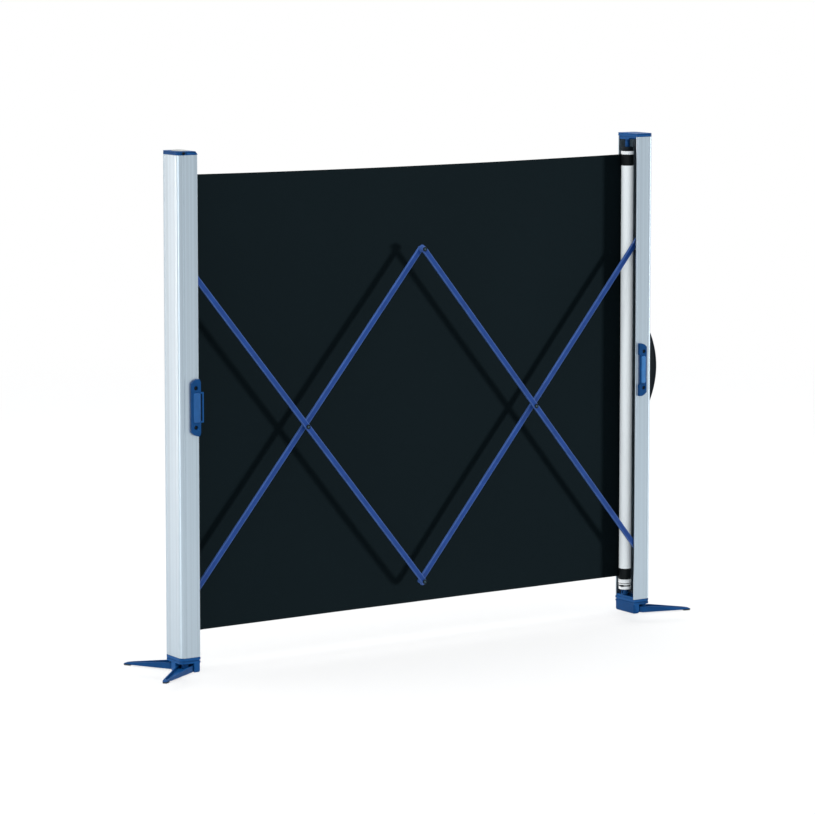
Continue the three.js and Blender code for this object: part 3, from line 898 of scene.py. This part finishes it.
def tongue(post):
    """The loop beyond the open edge, whose bar slides into the other latch's notch."""
    low, high = 446 * MM, 500 * MM
    inner = LATCH_INSETS[post][1]
    start, end = inner - 1 * MM, inner + 7.2 * MM
    back, front = post.y(-2.5 * MM), post.y(-0.7 * MM)
    parts = [block(post.x(start), post.x(end), back, front, z, z + 3 * MM) for z in (low, high - 3 * MM)]
    bar = block(post.x(end - 2.6 * MM), post.x(end), post.y(-2.7 * MM), post.y(-0.5 * MM), low, high)
    return join(bar, *parts)


# Carrying handle.


STRAP_HALF = 1.3 * MM
STRAP_TAB = 18 * MM


def strap_line():
    """Centre line of the strap in X and Z: two flat ends and the bowed grip between them."""
    low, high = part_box("handle_strap")
    start, end = low.z + STRAP_TAB, high.z - STRAP_TAB
    reach = high.x - low.x - 2 * STRAP_HALF
    steps = 40
    flat = low.x + STRAP_HALF
    points = [(flat, low.z), (flat, start - 1 * MM)]
    for step in range(1, steps):
        share = step / steps
        points.append((flat + reach * math.sin(math.pi * share) ** 0.8, start + share * (end - start)))
    return points + [(flat, end + 1 * MM), (flat, high.z)]


def make_handle():
    """The strap, thicker and rounder where the hand holds it, and its two end plates."""
    low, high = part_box("handle_strap")
    points = strap_line()
    width = high.y - low.y
    shape = bmesh.new()
    rings = []
    count = len(points)
    for index, point in enumerate(points):
        before = Vector(points[max(index - 1, 0)])
        after = Vector(points[min(index + 1, count - 1)])
        along = (after - before).normalized()
        normal = Vector((along.y, -along.x))
        share = index / (count - 1)
        swell = math.sin(math.pi * share) ** 2
        half = STRAP_HALF * (1 + 0.5 * swell)
        bulge = strap_section(width * (0.5 - 0.04 * swell), half)
        middle = Vector(point) - normal * (half - STRAP_HALF)
        spots = [(middle + normal * t, y) for y, t in bulge]
        rings.append([shape.verts.new((spot.x, y, spot.y)) for spot, y in spots])
    for lower, upper in zip(rings, rings[1:]):
        for step in range(len(lower)):
            after = (step + 1) % len(lower)
            shape.faces.new([lower[step], lower[after], upper[after], upper[step]])
    shape.faces.new(list(reversed(rings[0])))
    shape.faces.new(rings[-1])
    bmesh.ops.recalc_face_normals(shape, faces=shape.faces)
    piece("handle_strap_grip", shape, "handle_strap", "strap", 0)
    for end in ("lower", "upper"):
        make_end_plate(f"handle_end_plate_{end}")


def strap_section(half_width, half_height):
    """Rounded rectangle section of the strap, as (y, thickness) points."""
    corners = rectangle(-half_width, half_width, -half_height, half_height)
    return rounded(corners, min(half_height * 0.9, 1.6 * MM), 4)


def make_end_plate(node):
    """The plate and screw that hold one end of the strap on the post."""
    low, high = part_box(node)
    middle = (low + high) / 2
    outline = rounded(rectangle(low.y, high.y, low.z, high.z), 3 * MM)
    plate = extrude(outline, high.x - 3 * MM, high.x, lambda a, b, c: (c, a, b))
    piece(f"{node}_cover", plate, node, "blue_plastic", 0.9)
    head = turned(mm((0, 0), (3, 0), (2.4, 0.9), (0, 1.1)), 28)
    screw = moved(head, (high.x - 1.6 * MM, middle.y, middle.z), TO_X)
    piece(f"{node}_screw", screw, node, "dark_steel", 0, replaces=())


# Feet.


def foot_outline(hub, toe, end):
    """Plan of a foot along +X: a round hub, straight flanks and a round toe."""
    lean = math.degrees(math.asin((hub - toe) / end))
    return arc((end, 0), toe, -90 + lean, 90 - lean, 10) + arc((0, 0), hub, 90 - lean, 270 + lean, 18)


FOOT_LENGTH = 96 * MM
FOOT_TOP = [(-20, 12.8), (16, 12.8), (40, 10.4), (80, 6.6), (90, 5.2), (94, 3.6), (110, 2)]
TROUGH_FLOOR = [(-20, 9), (14, 8.4), (40, 5.4), (78, 3.6), (110, 3.4)]


def above(line):
    """All the space above a line of (x, z) points in millimetres."""
    ends = [(line[-1][0], 40), (line[0][0], 40)]
    return slab(mm(*line, *ends), -40 * MM, 40 * MM)


def make_foot(post, end):
    """A swing-out foot: a troughed arm round a hub, its hinge pin and its rubber tip."""
    node = f"{post.name}_{end}_foot"
    pin = centre(f"{node}_pin")
    tip = centre(f"{node}_tip")
    angle = math.atan2(tip.y - pin.y, tip.x - pin.x)
    turn = about_z(angle)
    spot = (pin.x, pin.y, 0)
    body = prism(foot_outline(13.5 * MM, 4.6 * MM, FOOT_LENGTH - 5.6 * MM), 1.9 * MM, 12.8 * MM)
    room = prism(foot_outline(11.8 * MM, 2.7 * MM, FOOT_LENGTH - 14 * MM), 3 * MM, 30 * MM)
    trough = combine(room, [above(TROUGH_FLOOR)], "INTERSECT")
    heel = block(78 * MM, 120 * MM, -20 * MM, 20 * MM, -5 * MM, 2.6 * MM)
    shell = cut(body, above(FOOT_TOP), trough, heel)
    boss = turned(mm((2.8, 3), (6.6, 3), (6.2, 16.5), (2.8, 16.5)), 32, closed=True)
    piece(f"{node}_shell", moved(join(shell, boss), spot, turn), node, "blue_plastic", 0.7)
    make_foot_tip(node, spot, turn)
    pin_shape = turned(mm((0, 2.2), (4.6, 2.2), (4.6, 3.6), (2.4, 3.6), (2.4, 24), (0, 24)), 28)
    piece(f"{node}_pin_rod", moved(pin_shape, spot), f"{node}_pin", "steel", 0.3)


def make_foot_tip(node, spot, turn):
    """The rubber pad under the toe, whose end shows as a small dark nose."""
    side = mm((81, 0), (92, 0), (96, 1.2), (96, 2.6), (90, 3), (81, 2.5))
    plan = prism(foot_outline(12.6 * MM, 3.6 * MM, FOOT_LENGTH - 3.6 * MM), -1 * MM, 20 * MM)
    pad = combine(slab(side, -20 * MM, 20 * MM), [plan], "INTERSECT")
    piece(f"{node}_tip_pad", moved(pad, spot, turn), f"{node}_tip", "tip_rubber", 0.4)


# Roller and banner.


def roller_axis():
    low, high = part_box("roller_tube")
    return (low.x + high.x) / 2, (low.y + high.y) / 2


def at_roller(shape, height=0):
    x, y = roller_axis()
    return moved(shape, (x, y, height))


WOUND = 12.4 * MM
TURN_STEP = 0.42 * MM
SHEET_THICKNESS = 0.3 * MM


def ribbon(name, line, low, high, node, rows=1, drape=None):
    """A sheet that stands along a line of (x, y) points: its left side is the banner's back.

    drape turns (share of the length, share of the height) into (offset in Y, new z).
    """
    mesh = bmesh.new()
    columns = []
    for index, (x, y) in enumerate(line):
        share = index / (len(line) - 1)
        column = []
        for row in range(rows + 1):
            height = row / rows
            z = low + (high - low) * height
            offset, z = drape(share, height) if drape else (0, z)
            column.append(mesh.verts.new((x, y + offset, z)))
        columns.append(column)
    for before, after in zip(columns, columns[1:]):
        for row in range(rows):
            mesh.faces.new([before[row], after[row], after[row + 1], before[row + 1]])
    obj = scratch_object(mesh)
    mesh.free()
    obj.data.materials.append(MATERIALS["banner_back"])
    obj.data.materials.append(MATERIALS["banner_front"])
    thick = obj.modifiers.new("thickness", "SOLIDIFY")
    thick.thickness = SHEET_THICKNESS
    thick.offset = -1
    thick.use_even_offset = True
    thick.material_offset = 1
    finish_piece(obj, name, 50)
    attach(obj, frame["nodes"][node]["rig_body"])
    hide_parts(node)
    return obj


def make_wound_banner():
    """The turns of banner on the roller, as a true spiral just inside the sheet that leaves it."""
    low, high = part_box("wound_banner")
    x, y = roller_axis()
    turns = 2
    outermost = WOUND - 2 * SHEET_THICKNESS - 0.08 * MM
    steps = 64 * turns
    line = []
    for step in range(steps + 1):
        share = step / steps
        angle = math.pi / 2 - 2 * math.pi * turns * share
        radius = outermost - TURN_STEP * turns * share
        line.append((x + radius * math.cos(angle), y + radius * math.sin(angle)))
    roll = ribbon("banner_roll", line, low.z, high.z, "wound_banner")


def make_banner_sheet():
    """The stretched banner: nearly flat, with a shallow sag of its edges and faint pull folds at its ends."""
    low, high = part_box("banner_sheet")
    x_axis, y_axis = roller_axis()
    columns, rows = 160, 60
    end_y = y_axis + WOUND - SHEET_THICKNESS
    start_y = end_y - 0.5 * MM
    line = []
    for step in range(columns + 1):
        share = step / columns
        line.append((low.x + (x_axis - low.x) * share, start_y + (end_y - start_y) * share))

    def drape(share, height):
        sag = 4 * share * (1 - share)
        top = high.z - 2.4 * MM * (1 - share) - 3.6 * MM * sag
        bottom = low.z + 1.2 * MM + 2.6 * MM * share + 1.2 * MM * sag
        near_ends = math.exp(-share / 0.05) + math.exp(-(1 - share) / 0.05)
        near_edges = math.exp(-height / 0.05) + math.exp(-(1 - height) / 0.05)
        ripple = 0.5 * MM * math.sin(7 * math.pi * share + 2 * height) * sag
        pull = 0.25 * MM * near_ends * math.sin(34 * height) * min(1, 12 * share, 12 * (1 - share))
        curl = -1.3 * MM * near_edges * sag
        return ripple + pull + curl, bottom + (top - bottom) * height

    sheet = ribbon("banner", line, low.z, high.z, "banner_sheet", rows, drape)
    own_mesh(sheet)


def make_clamp():
    """The strip in the leading post that grips the banner's free edge, with a slit for it."""
    low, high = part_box("banner_clamp")
    sheet_y = roller_axis()[1] + WOUND
    body = prism(rounded(rectangle(low.x, high.x, low.y, high.y), 1.4 * MM), low.z, high.z)
    plan = rectangle(high.x - 6 * MM, high.x + 1 * MM, sheet_y - 1.6 * MM, sheet_y + 0.2 * MM)
    slit = prism(plan, low.z - 1 * MM, high.z + 1 * MM)
    piece("banner_clamp_strip", cut(body, slit), "banner_clamp", "anodised_aluminium", 0.25)


def make_roller():
    """The tube and all that holds and turns it."""
    low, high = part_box("roller_tube")
    tube = turned(rectangle(9.2 * MM, 10.8 * MM, low.z, high.z), 48, closed=True)
    piece("roller_tube_core", at_roller(tube), "roller_tube", "anodised_aluminium", 0.2)
    make_upper_plug(high.z)
    make_lower_plug(low.z)
    make_spindle(high.z)
    make_socket()
    spring = smoothed_copy("torsion_spring_coil", "torsion_spring", "steel", 0, 1)
    spring.data.set_sharp_from_angle(angle=math.radians(80))


def make_upper_plug(top):
    """The upper plug, a grooved ring over the tube's end."""
    profile = mm(
        (3.2, -22), (8.9, -22), (8.9, 0.3), (12.4, 0.3), (12.4, 2.6), (11.9, 3.1), (12.4, 3.6), (12.4, 6.5),
        (3.2, 6.5),
    )
    ring = at_roller(turned(profile, 56, closed=True), top)
    piece("roller_upper_ring", ring, "roller_upper_plug", "pale_plastic", 0.35)


def make_lower_plug(bottom):
    """The stepped lower plug, with dark rings in its two grooves that paint the shade in them."""
    profile = mm(
        (0, -29.3), (3, -29.3), (3, -20.8), (6.5, -20.8), (11.6, -19.6), (12, -15), (11.6, -14), (8.4, -14),
        (8.4, -11.4), (12, -11.4), (12, -8.8), (10.4, -8.8), (10.4, -7.4), (12.4, -7.4), (12.4, -0.3),
        (8.9, -0.3), (8.9, 22), (0, 22),
    )
    slots = []
    for turn in range(4):
        slot = block(5 * MM, 14 * MM, -4 * MM, 4 * MM, -15 * MM, -10.8 * MM)
        slots.append(moved(slot, turn=about_z(math.pi / 2 * turn + 0.4)))
    cup = at_roller(cut(turned(profile, 56), *slots), bottom)
    piece("roller_lower_cup", cup, "roller_lower_plug", "pale_plastic", 0.3)
    # Dark rings laid in the two grooves are painted shade.
    groove_shade = []
    for radius, low, high in ((11.6, -8.7, -7.5), (10.6, -13.8, -11.6)):
        groove_shade.append(turned(mm(*rectangle(8, radius, low, high)), 48, closed=True))
    groove_shade = at_roller(together(*groove_shade), bottom)
    piece("roller_lower_seals", groove_shade, "roller_lower_plug", "strap", 0, replaces=())


def make_spindle(top):
    """The fixed spindle under the cap: a slotted stem that stands on a bearing collar whose dark colour is
    partly its own plastic and partly painted shade under the cap.
    """
    low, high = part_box("roller_spindle")
    shoulder = top + 6.8 * MM
    seat = shoulder + 8 * MM
    profile = [(0, low.z), (2.8 * MM, low.z), (2.8 * MM, shoulder)]
    profile += [(4.4 * MM, shoulder), (4.4 * MM, high.z), (0, high.z)]
    slot = block(-0.9 * MM, 0.9 * MM, -6 * MM, 6 * MM, seat + 3 * MM, high.z - 3 * MM)
    stem = cut(turned(profile, 36), slot)
    piece("roller_spindle_stem", at_roller(stem), "roller_spindle", "blue_plastic", 0.3)
    section = mm((4.6, 0), (10.8, 0), (10.8, 6.8), (9.6, 8), (4.6, 8))
    collar = at_roller(turned(section, 40, closed=True), shoulder)
    # The collar's near-black plastic is partly painted shade under the cap.
    piece("roller_spindle_collar", collar, "roller_spindle", "strap", 0.3, replaces=())


def make_socket():
    """The prongs that hold the plug's tail in the base."""
    low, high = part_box("roller_socket")
    section = [(3.4 * MM, low.z), (7.2 * MM, low.z), (6.9 * MM, high.z), (3.4 * MM, high.z)]
    ring = turned(section, 40, closed=True)
    slots = []
    for turn in range(2):
        slot = block(-12 * MM, 12 * MM, -1.5 * MM, 1.5 * MM, low.z + 2.5 * MM, high.z + 2 * MM)
        slots.append(moved(slot, turn=about_z(math.pi / 2 * turn + 0.2)))
    piece("roller_socket_prongs", at_roller(cut(ring, *slots)), "roller_socket", "blue_plastic", 0.4)


# --- Stage ---

FLOOR_REACH = 9
FLOOR_TOP = -0.5 * MM
ROLLER_WHITES = ["banner_roll", "roller_upper_ring", "roller_lower_cup"]


def make_floor():
    """A pale floor that fades into the white of the room away from the object."""
    floor = scratch_object(block(-FLOOR_REACH, FLOOR_REACH, -FLOOR_REACH, FLOOR_REACH, -20 * MM, FLOOR_TOP))
    floor.name = "floor"
    nodes = Nodes("pale_floor", (0.9, 0.905, 0.91), 0.8, Specular_IOR_Level=0.1)
    nodes.set("Base Color", nodes.ramp(nodes.noise(2.0), (0.895, 0.9, 0.905), (0.905, 0.91, 0.915)))
    fade = nodes.add("ShaderNodeTexGradient")
    fade.gradient_type = "SPHERICAL"
    mapping = nodes.add("ShaderNodeMapping", Location=(0.11, 0, 0), Scale=(0.22, 0.22, 0.22))
    nodes.link(nodes.add("ShaderNodeTexCoord").outputs["Object"], mapping.inputs["Vector"])
    nodes.link(mapping.outputs["Vector"], fade.inputs["Vector"])
    nodes.set("Alpha", nodes.ramp(fade.outputs["Fac"], (0, 0, 0), (0.22, 0.22, 0.22), 0.02, 0.5))
    floor.data.materials.append(nodes.material)


def area_light(name, place, target, size, power, color=(1, 1, 1), only=None):
    """A rectangular light. With only, it lights those objects alone, though all still cast shadows."""
    light = bpy.data.lights.new(name, "AREA")
    light.shape = "RECTANGLE"
    light.size, light.size_y = size
    light.energy = power
    light.color = color
    obj = bpy.data.objects.new(name, light)
    obj.location = place
    obj.rotation_euler = (Vector(target) - Vector(place)).to_track_quat("-Z", "Y").to_euler()
    bpy.context.scene.collection.objects.link(obj)
    if only:
        lit = bpy.data.collections.new(f"{name}_lights")
        for receiver in only:
            lit.objects.link(bpy.data.objects[receiver])
        obj.light_linking.receiver_collection = lit


def make_lights():
    area_light("key", (4.7, -6.0, 0.42), (-0.5, 0, 0.42), (0.9, 0.9), 888, only=["banner"])
    area_light("overhead", (-0.5, -0.6, 5), (-0.5, -0.6, 0), (8, 8), 290)
    area_light("left_softbox", (-3.4, 2.2, 0.9), (-1, 0, 0.45), (1.2, 2.6), 27, (1, 0.83, 0.73))
    area_light("corner_strip", (-3.55, -0.62, 0.7), (-1, 0, 0.45), (0.16, 2.4), 13)
    area_light("right_strip", (3.0, -0.65, 0.7), (0, 0, 0.45), (0.5, 2.4), 22)
    area_light("roller_fill", (-3.0, -4.4, 1.0), (0, 0, 0.45), (1, 1), 75, only=ROLLER_WHITES)


def make_world():
    """A soft pale room that the camera sees as plain white."""
    world = bpy.data.worlds.new("studio")
    world.use_nodes = True
    tree = world.node_tree
    room = tree.nodes["Background"]
    room.inputs["Color"].default_value = (0.95, 0.975, 1, 1)
    room.inputs["Strength"].default_value = 0.72
    white = tree.nodes.new("ShaderNodeBackground")
    white.inputs["Color"].default_value = (1, 1, 1, 1)
    path = tree.nodes.new("ShaderNodeLightPath")
    mix = tree.nodes.new("ShaderNodeMixShader")
    tree.links.new(path.outputs["Is Camera Ray"], mix.inputs["Fac"])
    tree.links.new(room.outputs["Background"], mix.inputs[1])
    tree.links.new(white.outputs["Background"], mix.inputs[2])
    tree.links.new(mix.outputs["Shader"], tree.nodes["World Output"].inputs["Surface"])
    bpy.context.scene.world = world
    bpy.context.scene.view_settings.view_transform = "Standard"


def make_camera():
    data = bpy.data.cameras.new("camera")
    data.lens = CAMERA_LENS
    data.sensor_width = 36
    data.shift_y = CAMERA_SHIFT
    camera = bpy.data.objects.new("camera", data)
    camera.location = CAMERA_PLACE
    camera.rotation_euler = (math.radians(90 - CAMERA_PITCH), 0, math.radians(-CAMERA_YAW))
    bpy.context.scene.collection.objects.link(camera)
    bpy.context.scene.camera = camera


make_camera()
for post in POSTS:
    make_post(post)
    make_cap(post)
    make_base(post)
    make_latch(post)
    make_pivot_hardware(post)
    for end in ("rear", "front"):
        make_foot(post, end)
make_cap_trim()
make_scissor()
make_handle()
make_roller()
make_wound_banner()
make_banner_sheet()
make_clamp()
make_floor()
make_lights()
make_world()
